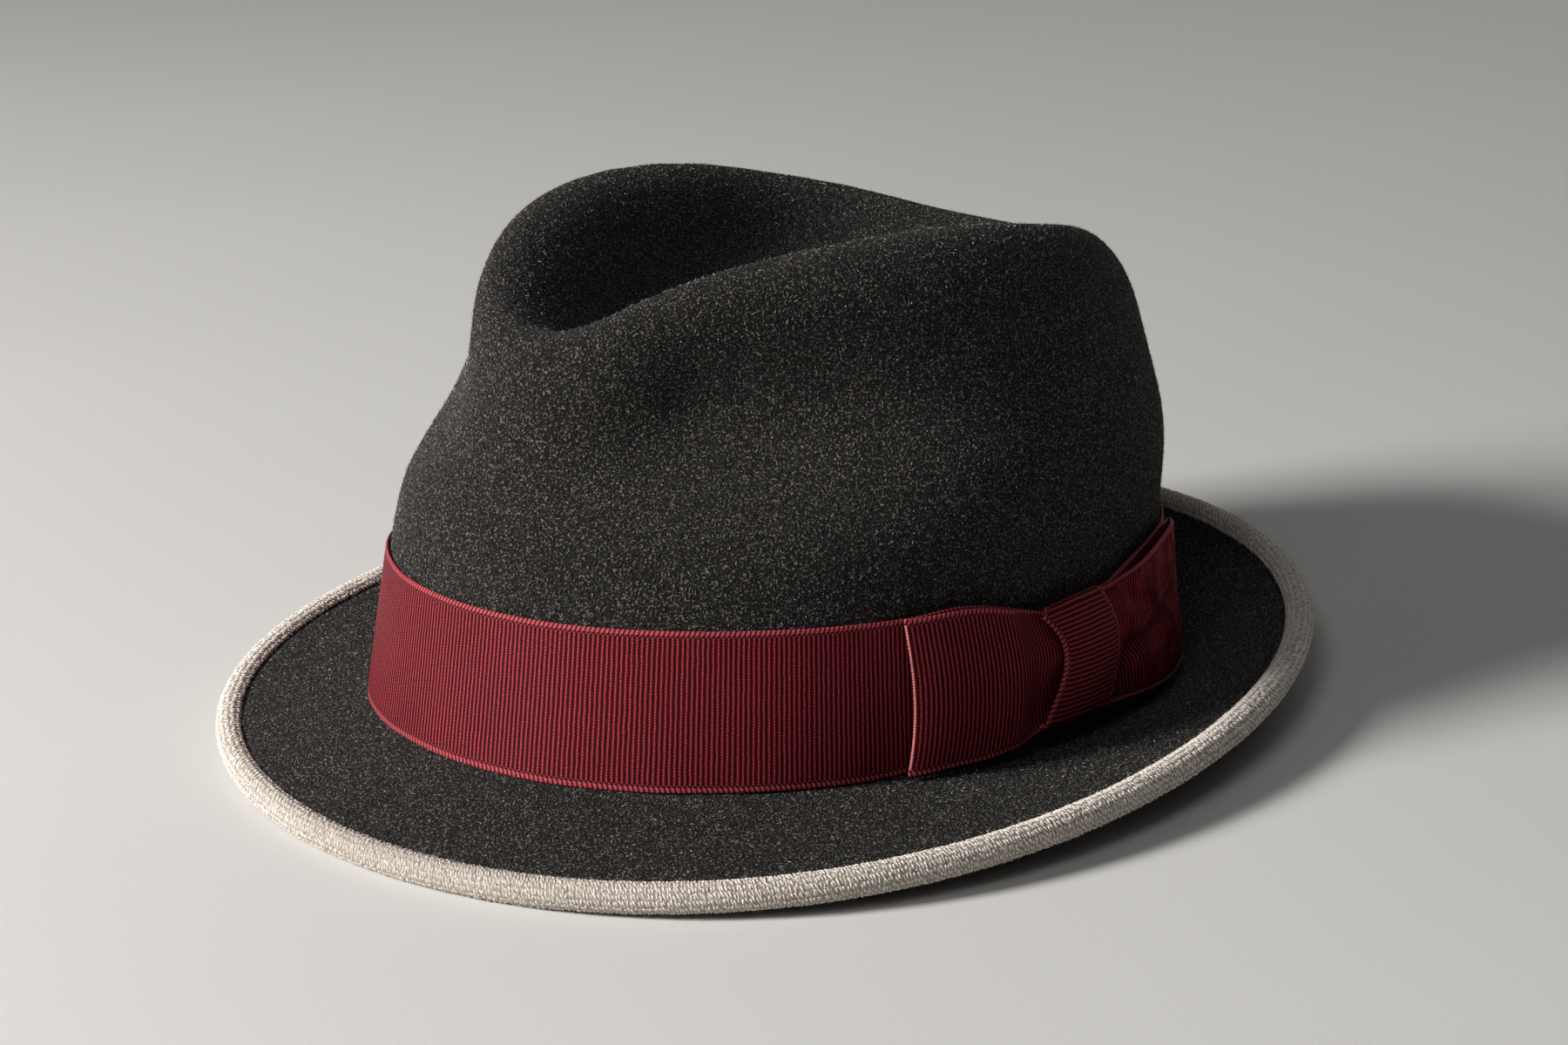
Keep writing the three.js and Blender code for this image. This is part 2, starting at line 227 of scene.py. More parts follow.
def new_piece(name, points, faces, map_name, corners, smooth_shaded=True):
    """A piece from vertices and faces. corners: where the corners of each face lie in its map."""
    mesh = bpy.data.meshes.new(name)
    mesh.vertices.add(len(points))
    mesh.vertices.foreach_set("co", points.astype(np.float32).ravel())
    mesh.loops.add(faces.size)
    mesh.loops.foreach_set("vertex_index", faces.astype(np.int32).ravel())
    mesh.polygons.add(len(faces))
    starts = np.arange(0, faces.size, faces.shape[1], dtype=np.int32)
    mesh.polygons.foreach_set("loop_start", starts)
    mesh.polygons.foreach_set("use_smooth", np.full(len(faces), smooth_shaded))
    layer = mesh.uv_layers.new(name=map_name)
    mesh.update(calc_edges=True)
    layer.uv.foreach_set("vector", corners.astype(np.float32).ravel())
    mesh.validate()
    piece = bpy.data.objects.new(name, mesh)
    bpy.context.scene.collection.objects.link(piece)
    return piece


def shell_mesh(name, points, uv, ring, closed_round, vertex_of=None):
    """A closed mesh from rows of points. ring: the rows close up on each other. closed_round: the
    columns do, or else the first and the last column are each capped, one half on the other.
    vertex_of: the number of each point's vertex, where points share one. uv has one more column and
    row than points."""
    columns, rows = points.shape[:2]
    index = np.arange(columns * rows).reshape(columns, rows) if vertex_of is None else vertex_of
    c, r = np.meshgrid(np.arange(columns if closed_round else columns - 1),
                       np.arange(rows if ring else rows - 1), indexing="ij")
    cc = np.stack([c, c + 1, c + 1, c], -1).reshape(-1, 4)
    rr = np.stack([r, r, r + 1, r + 1], -1).reshape(-1, 4)
    faces = index[cc % columns, rr % rows]
    corners = uv[cc, rr]
    if not closed_round:
        half = rows // 2
        k = np.arange(half - 1)
        for column, flip in ((0, 1), (columns - 1, -1)):
            cap = np.stack([k, rows - 1 - k, rows - 2 - k, k + 1], -1)[:, ::flip]
            faces = np.concatenate([faces, index[column, cap]])
            corners = np.concatenate([corners, uv[column, cap]])
    used, faces = np.unique(faces, return_inverse=True)
    faces = faces.reshape(-1, 4)
    place = points.reshape(-1, 3)[used]
    a, b, c, d = place[faces].swapaxes(0, 1)
    volume = np.einsum("ij,ij->", a, np.cross(b, c) + np.cross(c, d))
    if volume < 0:
        faces, corners = faces[:, ::-1], corners[:, ::-1]
    return new_piece(name, place, faces, "weave", corners)


def finish_piece(piece, material, slot, *replaced):
    piece.data.materials.append(material)
    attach(piece, "root")
    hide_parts(*replaced)
    return piece


def levels(*stretches):
    """Numbers at even steps: (start, end, steps) for each stretch, ends joined."""
    found = [np.linspace(a, b, n, endpoint=False) for a, b, n in stretches]
    return np.concatenate([*found, [stretches[-1][1]]])


# ------------------------------------------------------------------ felt body

FELT_TURNS = 360
OUTSIDE_LEVELS = levels((0, 2, 14), (2, 5, 24), (5, 8, 30), (8, 12, 56), (12, 14, 18))
INSIDE_LEVELS = levels((0, 2, 8), (2, 5, 14), (5, 8, 16), (8, 12, 24), (12, 14, 8))
SOFTNESS = 0.18      # how uneven the blocked felt is, in mm


def felt_layer(place, turn, depth=0.0):
    """The blocked felt, which isn't quite even, at a depth under its face; and its outward way."""
    point = felt_surface(place, turn)
    _, _, out = felt_axes(place, turn)
    # Even at the brim edge and the seam, and nearly so under the band.
    soft = smooth(place, 0.1, 1.0) * smooth(AT_SEAM - place, 0, 0.6)
    soft = soft * (1 - 0.8 * smooth(place, 1.8, 2.6) * (1 - smooth(place, 4.6, 5.6)))
    swell = SOFTNESS * soft * (unevenness(point, 38, 11) + 0.5 * unevenness(point, 17, 12))
    return point + out * (swell - depth)[..., None], out


def felt_body():
    turn = np.arange(FELT_TURNS) * 2 * math.pi / FELT_TURNS

    def layer(places, depth):
        points, _ = felt_layer(*np.meshgrid(places, turn, indexing="ij"), depth)
        points[places == AT_SEAM, :, 0] = 0
        return points

    rows = np.concatenate([layer(INSIDE_LEVELS, FELT_THICKNESS)[::-1], layer(OUTSIDE_LEVELS, 0.0)])
    columns = rows.swapaxes(0, 1).copy()
    index = np.arange(columns.shape[0] * columns.shape[1]).reshape(columns.shape[:2])
    mirrored = (-np.arange(FELT_TURNS)) % FELT_TURNS
    for seam in (0, -1):
        columns[:, seam] = (columns[:, seam] + columns[mirrored, seam]) / 2
        index[:, seam] = np.minimum(index[:, seam], index[mirrored, seam])
    uv = np.zeros((FELT_TURNS + 1, columns.shape[1] + 1, 2))
    return shell_mesh("felt_crown_and_brim", stand_up(columns), uv, ring=False, closed_round=True,
                      vertex_of=index)


# ------------------------------------------------------------------ nap

NAP_FIBRES = 40000       # in each piece of nap
LYING = dict(length=(0.3, 0.8), width=(0.09, 0.17), lift=(8, 40))
STANDING = dict(length=(0.35, 1.0), width=(0.06, 0.11), lift=(25, 75))
FIBRE_FACES = np.array([(0, 1, 2), (0, 3, 1), (1, 3, 2), (2, 3, 0)])
FIBRE_SINK = 0.4         # of its width, by which a fibre's foot is in the felt
FIBRE_RIDGE = 0.9        # of its width, from its foot to its ridge
CELL_CORNERS = np.array([(0.1, 0.1), (0.9, 0.1), (0.1, 0.9)])    # of a triangle in its cell
TRIES = 4                # points tried for each fibre that is kept


def fibres(name, root, out, rng, length, width, lift):
    """Thin straight spikes that lie every way. length, width: in mm. lift: degrees off the surface."""
    count = len(root)
    across = unit(np.cross(out, rng.normal(size=(count, 3))))
    onward = np.cross(out, across)
    long = rng.uniform(*length, count)[:, None]
    wide = rng.uniform(*width, count)[:, None]
    rise = np.radians(rng.uniform(*lift, count))[:, None]
    way = onward * np.cos(rise) + out * np.sin(rise)
    foot = root - out * wide * FIBRE_SINK
    corners = np.stack([foot + across * wide / 2, foot - across * wide / 2,
                        foot + out * wide * FIBRE_RIDGE, foot + way * long], 1)
    return many_solids(name, corners, FIBRE_FACES)


def many_solids(name, corners, faces, smooth_shaded=False):
    """One mesh of many small alike solids, without those that would touch the floor. corners: one row
    of points for each solid. Each face has a cell of its own in the map."""
    points = stand_up(corners)
    points = points[(points[..., 2] > 0).all(1)]
    count, size = points.shape[:2]
    tri = points[:, faces]
    volume = np.einsum("ijk,ijk->i", tri[:, :, 0], np.cross(tri[:, :, 1], tri[:, :, 2]))
    whole = np.where((volume < 0)[:, None, None], faces[:, ::-1], faces)
    whole = (whole + np.arange(count)[:, None, None] * size).reshape(-1, 3)
    cells = math.ceil(math.sqrt(len(whole)))
    cell = np.stack([np.arange(len(whole)) % cells, np.arange(len(whole)) // cells], -1)
    corners_in_map = (cell[:, None] + CELL_CORNERS) / cells
    return new_piece(name, points.reshape(-1, 3), whole, "OFBake", corners_in_map, smooth_shaded)


def bare_felt(count, rng):
    """Random points, even over the felt's upper side where no ribbon lies on it."""
    place = rng.uniform(0.1, AT_SEAM - 0.05, TRIES * count)
    turn = rng.uniform(0, 2 * math.pi, TRIES * count)
    along = felt_surface(place + FINE_STEP, turn) - felt_surface(place - FINE_STEP, turn)
    round_crown = felt_surface(place, turn + FINE_STEP) - felt_surface(place, turn - FINE_STEP)
    area = np.linalg.norm(np.cross(along, round_crown), axis=1)
    under_band = felt_surface(place, turn)[:, 2] < BAND_FOOT + BAND_WIDTH - 0.5
    covered = (place > AT_FOOT - 0.4) & under_band
    area = np.where(covered, 0, area)
    chosen = rng.choice(len(place), count, replace=False, p=area / area.sum())
    return felt_layer(place[chosen], turn[chosen])


def nap(name, seed, **shape):
    rng = np.random.default_rng(seed)
    root, out = bare_felt(NAP_FIBRES, rng)
    return fibres(name, root, out, rng, **shape)


# ------------------------------------------------------------------ piped edge

PIPING_COLUMNS = 700
PIPING_ARC = 26          # steps round the cord
YARN_PITCH = 0.76        # along the cord
YARN_LENGTH = 1.75       # across it
YARN_ROWS = 12
YARN_HEIGHT = 0.24
YARN_ROOT = -0.1         # its foot and its ends are sunk in the cord
YARN_END = -0.08
YARN_RING = 0.55         # of its half length, where it is full

# How unlike the yarns are. off_row, off_column: how far each is off its place, as shares of a row and
# of the pitch. length, width, height: least and most, as shares of YARN_LENGTH, the pitch and
# YARN_HEIGHT. slant: how far it runs along the cord for each mm across, on average and its spread.
# bow: spread of its bend, in mm.
YARN = dict(off_row=0.16, off_column=0.24, length=(0.62, 1.18), width=(0.36, 0.5),
            height=(0.65, 1.15), slant=(0.26, 0.17), bow=0.10)
FUZZ_FIBRES = 5000
FUZZ = dict(length=(0.7, 1.9), width=(0.05, 0.08), lift=(5, 40))
CORD_RADIUS = PIPING_RADIUS - 0.12    # of the cord under its yarns
SLOT_LIP = math.asin((FELT_THICKNESS / 2 + SLOT_GAP) / CORD_RADIUS)


def piping_rows():
    """The piping's outline round the felt edge, as (inwards, out of the felt); and its length."""
    slot_half = FELT_THICKNESS / 2 + SLOT_GAP
    angle = SLOT_LIP + (2 * math.pi - 2 * SLOT_LIP) * np.arange(PIPING_ARC + 1) / PIPING_ARC
    outline = [(math.cos(a) * CORD_RADIUS, math.sin(a) * CORD_RADIUS) for a in angle]
    bottom = PIPING_RADIUS - EDGE_BITE - SLOT_GAP
    outline += [(bottom, -slot_half), (bottom, slot_half)]
    arc = list(angle * CORD_RADIUS)
    return np.array(outline), np.array(arc + [arc[-1] + 1, arc[0] - 1, arc[0]])


def cord_middle(turn):
    """The cord's middle line, its ways inwards and out of the felt, and its uneven thickness."""
    _, inward, out = felt_axes(np.zeros(turn.shape), turn)
    edge = felt_surface(np.zeros(turn.shape), turn) - out * FELT_THICKNESS / 2
    middle = edge - inward * (PIPING_RADIUS - EDGE_BITE)
    swell = 1 + 0.012 * unevenness(middle, 23, 21) + 0.010 * unevenness(middle, 9, 22)
    return middle, inward, out, swell


def piping_points(columns):
    outline, _ = piping_rows()
    middle, inward, out, swell = cord_middle(np.arange(columns) * 2 * math.pi / columns)
    round_part = (np.hypot(*outline.T) > CORD_RADIUS * 0.9)[None, :, None]
    moved = outline[None] * np.where(round_part, swell[:, None, None], 1)
    points = middle[:, None] + inward[:, None] * moved[..., :1] + out[:, None] * moved[..., 1:]
    return points, middle


def piped_edge():
    points, middle = piping_points(PIPING_COLUMNS)
    _, arc = piping_rows()
    steps = np.linalg.norm(np.roll(middle, -1, 0) - middle, axis=1)
    along = np.concatenate([[0], np.cumsum(steps)])
    uv = np.stack(np.broadcast_arrays(along[:, None], arc[None]), -1)
    return shell_mesh("piped_edge", stand_up(points), uv, ring=True, closed_round=True)


def cord_surface(turn, angle, height):
    """A point over the cord's surface, at an angle round it from the felt's way inwards."""
    middle, inward, out, swell = cord_middle(turn)
    reach = (CORD_RADIUS * swell + height)[..., None]
    outward = inward * np.cos(angle)[..., None] + out * np.sin(angle)[..., None]
    return middle + outward * reach, outward


def piping_yarns():
    """The yarns on the face of the twill: short curved strokes that lie nearly across the cord."""
    rng = np.random.default_rng(61)
    line = np.linspace(0, 2 * math.pi, 2001)
    middle = cord_middle(line)[0]
    length = np.concatenate([[0], np.cumsum(np.linalg.norm(np.diff(middle, axis=0), axis=1))])
    columns = round(length[-1] / YARN_PITCH)
    column, row = np.indices((columns, YARN_ROWS)).reshape(2, -1)
    count = len(row)
    room = 2 * math.pi - 2 * SLOT_LIP
    in_line = np.stack([column, 0 * column, 0 * column], -1)
    shift = (column % 2) * 0.5 + 0.18 * unevenness(in_line, 23, 62)
    place = row + 0.3 + 0.4 * shift + rng.uniform(-YARN["off_row"], YARN["off_row"], count)
    angle = SLOT_LIP + room * place / YARN_ROWS
    along = (column + rng.uniform(-YARN["off_column"], YARN["off_column"], count)) * YARN_PITCH
    fall = smooth(np.abs(np.degrees(angle) - 100), 40, 120)
    half = YARN_LENGTH / 2 * rng.uniform(*YARN["length"], count) * (1 - 0.3 * fall)
    slant = rng.normal(*YARN["slant"], count)
    bow = rng.normal(0, YARN["bow"], count)
    wide = YARN_PITCH * rng.uniform(*YARN["width"], count)
    high = YARN_HEIGHT * rng.uniform(*YARN["height"], count)

    def at(share, side, height):
        """A point of each yarn: share from -1 to 1 along it, side across it, height over the cord."""
        s = along + half * share * slant + bow * (1 - share ** 2) + wide * side
        where = np.interp(s % length[-1], length, line)
        return cord_surface(where, angle + half * share / CORD_RADIUS, height)[0]

    rings = [at(share, side, lift * high + YARN_ROOT) for share in (-YARN_RING, YARN_RING)
             for side, lift in ((-1, 0.0), (0, 1.5), (1, 0.0))]
    corners = np.stack([at(-1, 0, YARN_END), *rings, at(1, 0, YARN_END)], 1)
    # Point 0 is one end, 1 to 3 and 4 to 6 are two rings of three, and 7 is the other end.
    around = ((0, 1), (1, 2), (2, 0))
    faces = [(0, 1 + k, 1 + after) for k, after in around]
    faces += [(7, 4 + after, 4 + k) for k, after in around]
    for k, after in around:
        faces += [(1 + k, 4 + k, 4 + after), (1 + k, 4 + after, 1 + after)]
    return many_solids("piping_yarns", corners, np.array(faces), smooth_shaded=True)


def piping_fuzz():
    rng = np.random.default_rng(63)
    turn = rng.uniform(0, 2 * math.pi, FUZZ_FIBRES)
    angle = rng.uniform(SLOT_LIP, 2 * math.pi - SLOT_LIP, FUZZ_FIBRES)
    root, out = cord_surface(turn, angle, 0.05)
    return fibres("piping_fuzz", root, out, rng, **FUZZ)


def middle_shift():
    """How far back the leant hat moves, so that the piping, its front and back, is centred."""
    reach = leant(piping_points(PIPING_COLUMNS)[0])[..., 1]
    return -(reach.min() + reach.max()) / 2


MIDDLE_SHIFT = middle_shift()

# ------------------------------------------------------------------ grosgrain ribbon

STITCH_AT = 1.28         # from the edge: a row of stitches between the woven edge and the ribs
EDGE_ROWS = (0.0, 0.10, 0.28, 0.52, 0.76, 0.92, SELVEDGE, 1.14, STITCH_AT, 1.42, 1.6)
EDGE_SLANT = 0.35        # of a rib, by which the edge's loops lean
STITCH_REACH = 0.11      # half the width of a stitch
STITCH_HEIGHT = 0.35     # of a rib's
EDGE_LOOP_HEIGHT = 1.1   # of a rib's
RIBS_RISE = (1.2, 1.58)  # from the edge: where the ribs begin and where they are full
EDGE_ROUND = 0.5         # from the edge: where the ribbon has its full thickness
RIB_PHASES = (-0.5, -0.3, -0.1, 0.1, 0.3)    # where a rib's columns stand, its crest at 0


def ribbed_columns(ribs):
    return (np.arange(ribs)[:, None] + 0.5 + np.array(RIB_PHASES)).ravel()


def rows_across(width, steps):
    """Distances from one woven edge to the other, close together at both."""
    near = np.array(EDGE_ROWS)
    between = np.linspace(near[-1], width - near[-1], steps + 1)[1:-1]
    return np.concatenate([near, between, (width - near)[::-1]])


def weave_height(rib, across, width, place):
    """How far the weave stands out: ribs, and at each woven edge a loop for every rib."""
    edge = np.minimum(across, width - across)
    slant = EDGE_SLANT * smooth(edge, 0, SELVEDGE)
    wander = 0.07 * unevenness(place, 9, 31) + 0.05 * unevenness(place, 3.1, 32)
    crest = np.abs(np.cos(math.pi * (rib - 0.5 + wander)))
    height = RIB_HEIGHT * crest ** 1.5 * (1 + 0.16 * unevenness(place, 2.3, 33))
    loop = np.abs(np.cos(math.pi * (rib - 0.5 + slant))) ** 0.7
    round_over = np.sqrt(np.clip(1 - ((edge - SELVEDGE * 0.55) / (SELVEDGE * 0.6)) ** 2, 0, 1))
    in_edge = 1 - smooth(edge, SELVEDGE - 0.06, SELVEDGE + 0.06)
    in_ribs = smooth(edge, *RIBS_RISE)
    in_stitch = hill(edge - STITCH_AT, STITCH_REACH, STITCH_REACH)
    stitch = STITCH_HEIGHT * in_stitch * np.abs(np.sin(math.pi * rib))
    loops = EDGE_LOOP_HEIGHT * loop * round_over * in_edge
    return height * in_ribs + RIB_HEIGHT * (loops + stitch)


def ribbon(name, middle, rib, across, width, closed, ribbed=1.0):
    """A ribbon along a grid of points in its own middle, columns along it and rows across it.
    closed: it goes all the way round. ribbed: the share of the weave's height, column by column."""
    if closed:
        along = np.roll(middle, -1, 0) - np.roll(middle, 1, 0)
    else:
        along = np.gradient(middle, axis=0)
    out = unit(np.cross(np.gradient(middle, axis=1), along))
    edge = np.minimum(across, width - across)
    rounded = 1 - (1 - np.clip(edge / EDGE_ROUND, 0, 1)) ** 2
    body = RIBBON_BODY / 2 * np.sqrt(np.clip(rounded, 0.02, 1))
    rise = weave_height(rib[:, None], across[None], width, middle) * ribbed * body / body.max()
    front = middle + out * (body + rise)[..., None]
    last = len(across) - 1
    behind = np.array([0, 3, last - 3, last]) if closed else np.arange(last + 1)
    back = (middle - out * body[None, :, None])[:, behind]
    ring = np.concatenate([front, back[:, ::-1]], 1)
    next_rib = rib[-1] + 1 - RIB_PHASES[-1] + RIB_PHASES[0]
    ribs = np.append(rib, rib[0] + round(next_rib - rib[0]))
    distance = np.concatenate([across, across[behind][::-1], across[:1]])
    uv = np.stack(np.broadcast_arrays(ribs[:, None], distance[None]), -1)
    return shell_mesh(name, stand_up(ring), uv, ring=True, closed_round=closed)


def girth_turns():
    """Turns and lengths round the band's middle, so that ribs can be spaced evenly."""
    turn = np.linspace(0, 2 * math.pi, 1441)
    line = wall_point(turn, BAND_FOOT + BAND_WIDTH / 2, LAYER_GAP + RIBBON_BODY)
    return turn, np.concatenate([[0], np.cumsum(np.linalg.norm(np.diff(line, axis=0), axis=1))])


GIRTH_TURN, GIRTH_LENGTH = girth_turns()
BAND_RIBS = round(GIRTH_LENGTH[-1] / RIB_PITCH)
BAND_ROWS = 9
BAND_SLACK = 0.12        # how far the band stands off the felt here and there
BAND_WANDER = 0.25       # how uneven its height on the crown is


def ribbon_band():
    rib = ribbed_columns(BAND_RIBS)
    turn = np.interp(rib / BAND_RIBS * GIRTH_LENGTH[-1], GIRTH_LENGTH, GIRTH_TURN)
    across = rows_across(BAND_WIDTH, BAND_ROWS)
    share = across / BAND_WIDTH
    off = within_half_turn(np.degrees(turn)[:, None] - GATHER["at"])    # degrees from the knot
    up = GATHER["up"] * hill(off, GATHER["reach_up"], GATHER["reach_up"])
    down = GATHER["down"] * hill(off, GATHER["reach_down"], GATHER["reach_down"])
    height = BAND_FOOT + across + up * (1 - share) - down * share
    flat = wall_point(turn[:, None], height, 0.0)
    distance = LAYER_GAP + RIBBON_BODY / 2 + BAND_SLACK * (1 + unevenness(flat, 26, 41))
    lift = BAND_WANDER * unevenness(flat * (1, 1, 0), 45, 42)
    middle = wall_point(turn[:, None], height + lift, distance)
    return ribbon("grosgrain_band", middle, rib, across, BAND_WIDTH, closed=True)


# ------------------------------------------------------------------ bow

BOW_GAP = LAYER_GAP + RIBBON_BODY + RIB_HEIGHT + LAYER_GAP    # from the crown to the bow
UNDER_LAYER = BOW_GAP + RIB_HEIGHT / 2 + RIBBON_BODY / 2      # and to the middle of a loop's layer
LOOP_WIDTH = BAND_WIDTH + 0.7
LOOP_NOSE = 0.30         # radius of the fold at a loop's free end
LOOP_BELLY = 3.1         # how far a loop's outer layer swells
LOOP_HOLLOW = 2.8        # distance of its outer layer from the crown, in the hollows by the knot
LOOP_PLEAT = 4.9         # and on the pleat between them
LOOP_BOW = 1.1           # degrees by which the ribs bend towards the knot at mid height
NARROW_FROM = 0.25       # share of a loop's length from which the knot gathers it in
LOOP_REST = 0.96         # share of its length that the layer beneath takes
UNDER_COLUMNS = 26
LOOP_ROWS = 18
KNOT_ROWS = 12
KNOT_SIDE_PUFF = 0.35    # of its full swell, that the knot has at its sides
HEM_HEIGHT = 0.55        # of the pleat's: how far a tucked loop's lower edge stays out
HEM_REACH = 0.09
CREASE_REACH = (0.07, 0.10)      # how far a crease reaches below and above its line
CREASE_OPENS = (0.05, 0.35)      # where along the loop it grows deep
CREASE_CLOSES = (0.86, 1.0)      # and where it fades out

# How each loop folds, with places across it as shares of its width from its lower edge, and places
# along it as shares of its length from its free end. pleat_at, pleat_below, pleat_above: the pleat by
# the knot. start, tucked: where the loop begins to sink under the knot, and where it is down.
# crease: depth of the fold across it, which is at crease_at by the knot and crease_climb higher by the
# free end. lean: degrees by which the ribs lean.
FRONT_FOLD = dict(pleat_at=0.62, pleat_below=0.22, pleat_above=0.2, start=0.5, tucked=0.655,
                  crease=0.0, crease_at=0.3, crease_climb=0.0, lean=0.0, seed=51)
REAR_FOLD = dict(pleat_at=0.72, pleat_below=0.2, pleat_above=0.2, start=0.6, tucked=0.9,
                 crease=2.8, crease_at=0.27, crease_climb=0.38, lean=-3.0, seed=52)


def along_loop(share, end, belly, tuck):
    """A size that swells from a loop's free end to its belly and changes again towards its tuck."""
    first = end + (belly - end) * smooth(share, 0, NARROW_FROM)
    return first + (tuck - first) * smooth(share, NARROW_FROM, 1)


def outer_layer(share, t, fold):
    """How far a loop's outer layer is from the crown, at a share of the way from its free end to the
    knot and a share t of its width: it swells, and sinks to hollows with a pleat between them."""
    belly = np.sin(math.pi * np.clip(share, 0, 1)) ** 0.8
    swell = LOOP_BELLY * belly * (0.75 + 0.25 * np.sin(math.pi * t))
    outer = UNDER_LAYER + 2 * LOOP_NOSE + swell
    pleat = hill(t - fold["pleat_at"], fold["pleat_below"], fold["pleat_above"])
    hem = HEM_HEIGHT * hill(t, HEM_REACH, HEM_REACH)
    tucked = LOOP_HOLLOW + (LOOP_PLEAT - LOOP_HOLLOW) * np.maximum(pleat, hem)
    outer = outer + (tucked - outer) * smooth(share, fold["start"], fold["tucked"])
    off_crease = t - fold["crease_at"] - fold["crease_climb"] * (1 - share)
    crease = fold["crease"] * hill(off_crease, *CREASE_REACH)
    return outer - crease * smooth(share, *CREASE_OPENS) * (1 - smooth(share, *CREASE_CLOSES))


def bow_loop(name, loop, fold):
    """A loop of ribbon: out along the band, round its fold, and back over itself to the knot.
    Returns it with the length of its ribbon."""
    end, tuck = loop["end"], loop["tuck"]
    way = math.copysign(1, tuck - end)
    start = np.interp(math.radians(end), GIRTH_TURN, GIRTH_LENGTH)
    finish = np.interp(math.radians(tuck), GIRTH_TURN, GIRTH_LENGTH)
    length = abs(finish - start)
    nose_arc = math.pi * LOOP_NOSE
    ribs = int((length + nose_arc / 2) / RIB_PITCH)
    outer_steps = ribbed_columns(ribs) * RIB_PITCH - nose_arc / 2
    inner_steps = -nose_arc / 2 - np.linspace(length * LOOP_REST, RIB_PITCH * 0.5, UNDER_COLUMNS)
    steps = np.concatenate([inner_steps, outer_steps])
    across = rows_across(LOOP_WIDTH, LOOP_ROWS)
    share_up = across / LOOP_WIDTH
    s, t = np.meshgrid(steps, share_up, indexing="ij")
    angle = np.clip(s / LOOP_NOSE, -math.pi / 2, math.pi / 2)
    along = np.maximum(np.abs(s) - nose_arc / 2, 0) + LOOP_NOSE * (1 - np.cos(angle))
    share = along / length
    on_nose = UNDER_LAYER + LOOP_NOSE * (1 + np.sin(angle))
    distance = np.where(s >= nose_arc / 2, outer_layer(share, t, fold), on_nose)
    bend = LOOP_BOW * np.sin(math.pi * t) * (1 - smooth(share, 0.5, 1.0))
    bend = bend + fold["lean"] * (t - 0.5) * smooth(share, 0.5, 0.9)
    turn_at = np.interp(start + way * along, GIRTH_LENGTH, GIRTH_TURN) + np.radians(way * bend)
    foot = along_loop(share, *loop["foot"])
    height = foot + t * (BAND_FOOT + BAND_WIDTH + along_loop(share, *loop["over"]) - foot)
    middle = wall_point(turn_at, height, distance)
    lift = 0.1 * unevenness(middle, 14, fold["seed"]) * smooth(s, 0, nose_arc / 2)
    middle = wall_point(turn_at, height, distance + lift)
    rib = (steps + 0.5 * nose_arc) / RIB_PITCH
    ribbed = smooth(s, -nose_arc / 2, -nose_arc / 4)
    piece = ribbon(name, middle, rib, across, LOOP_WIDTH, closed=False, ribbed=ribbed)
    return piece, 2 * length


def bow_knot():
    """The short piece that wraps the middle of the bow: its ribs lie along the band. Returns it with
    its width and its length."""
    top = BAND_FOOT + BAND_WIDTH + KNOT["over"]
    foot = KNOT["foot"]
    near = LOOP_PLEAT + KNOT_CLEARANCE
    corner, tail = KNOT_CORNER, KNOT_TAIL
    face = top - foot - 2 * corner
    quarter = corner * math.pi / 2
    total = face + 2 * quarter + 2 * tail
    ribs = round(total / RIB_PITCH)
    s = ribbed_columns(ribs) / ribs * total
    from_top = np.clip(s - tail - quarter, 0, face)
    into_top = np.clip(tail + quarter - s, 0, quarter) / corner
    into_foot = np.clip(s - tail - quarter - face, 0, quarter) / corner
    beyond = np.clip(tail - s, 0, None) + np.clip(s - total + tail, 0, None)
    height = top - corner - from_top + corner * np.sin(into_top) - corner * np.sin(into_foot)
    distance = near - corner * (1 - np.cos(into_top)) - corner * (1 - np.cos(into_foot)) - beyond
    up = np.clip((height - foot) / (top - foot), 0, 1)
    left_side, right_side = (wall_point(math.radians(KNOT[side]), BAND_FOOT + BAND_WIDTH / 2, near)
                             for side in ("left", "right"))
    width = np.linalg.norm(left_side - right_side)
    across = rows_across(width, KNOT_ROWS)
    share = across / width
    rounding = np.sin(math.pi * share[None]) ** 0.6
    full_across = KNOT_SIDE_PUFF + (1 - KNOT_SIDE_PUFF) * rounding
    puff = KNOT["puff"] * np.sin(math.pi * up[:, None]) ** 0.9 * full_across
    pulled = np.sin(math.pi * up ** KNOT["waist_rise"])
    left = KNOT["left"] + KNOT["waist"] * pulled + KNOT_CORNER_SHIFT * into_top
    right = KNOT["right"] + KNOT["back"] * pulled
    turn = np.radians(left[:, None] + (right - left)[:, None] * share[None])
    drawn_down = KNOT["dip"] * up[:, None] ** 2 * (1 - share[None]) ** 2
    middle = wall_point(turn, height[:, None] - drawn_down, distance[:, None] + puff)
    wrap = ribbon("bow_knot_wrap", middle, ribbed_columns(ribs), across, width, closed=False)
    return wrap, width, total


# ------------------------------------------------------------------ node helpers

def add(tree, kind, inputs=None, **settings):
    """A node with its settings, and each input set, or linked if it is given a socket."""
    node = tree.nodes.new(kind)
    for name, value in settings.items():
        setattr(node, name, value)
    for name, value in (inputs or {}).items():
        if isinstance(value, bpy.types.NodeSocket):
            tree.links.new(value, node.inputs[name])
        else:
            node.inputs[name].default_value = value
    return node


def calc(tree, operation, a, b=0.0, c=0.0):
    return add(tree, "ShaderNodeMath", {0: a, 1: b, 2: c}, operation=operation).outputs[0]


def vector_calc(tree, operation, inputs):
    return add(tree, "ShaderNodeVectorMath", inputs, operation=operation).outputs[0]


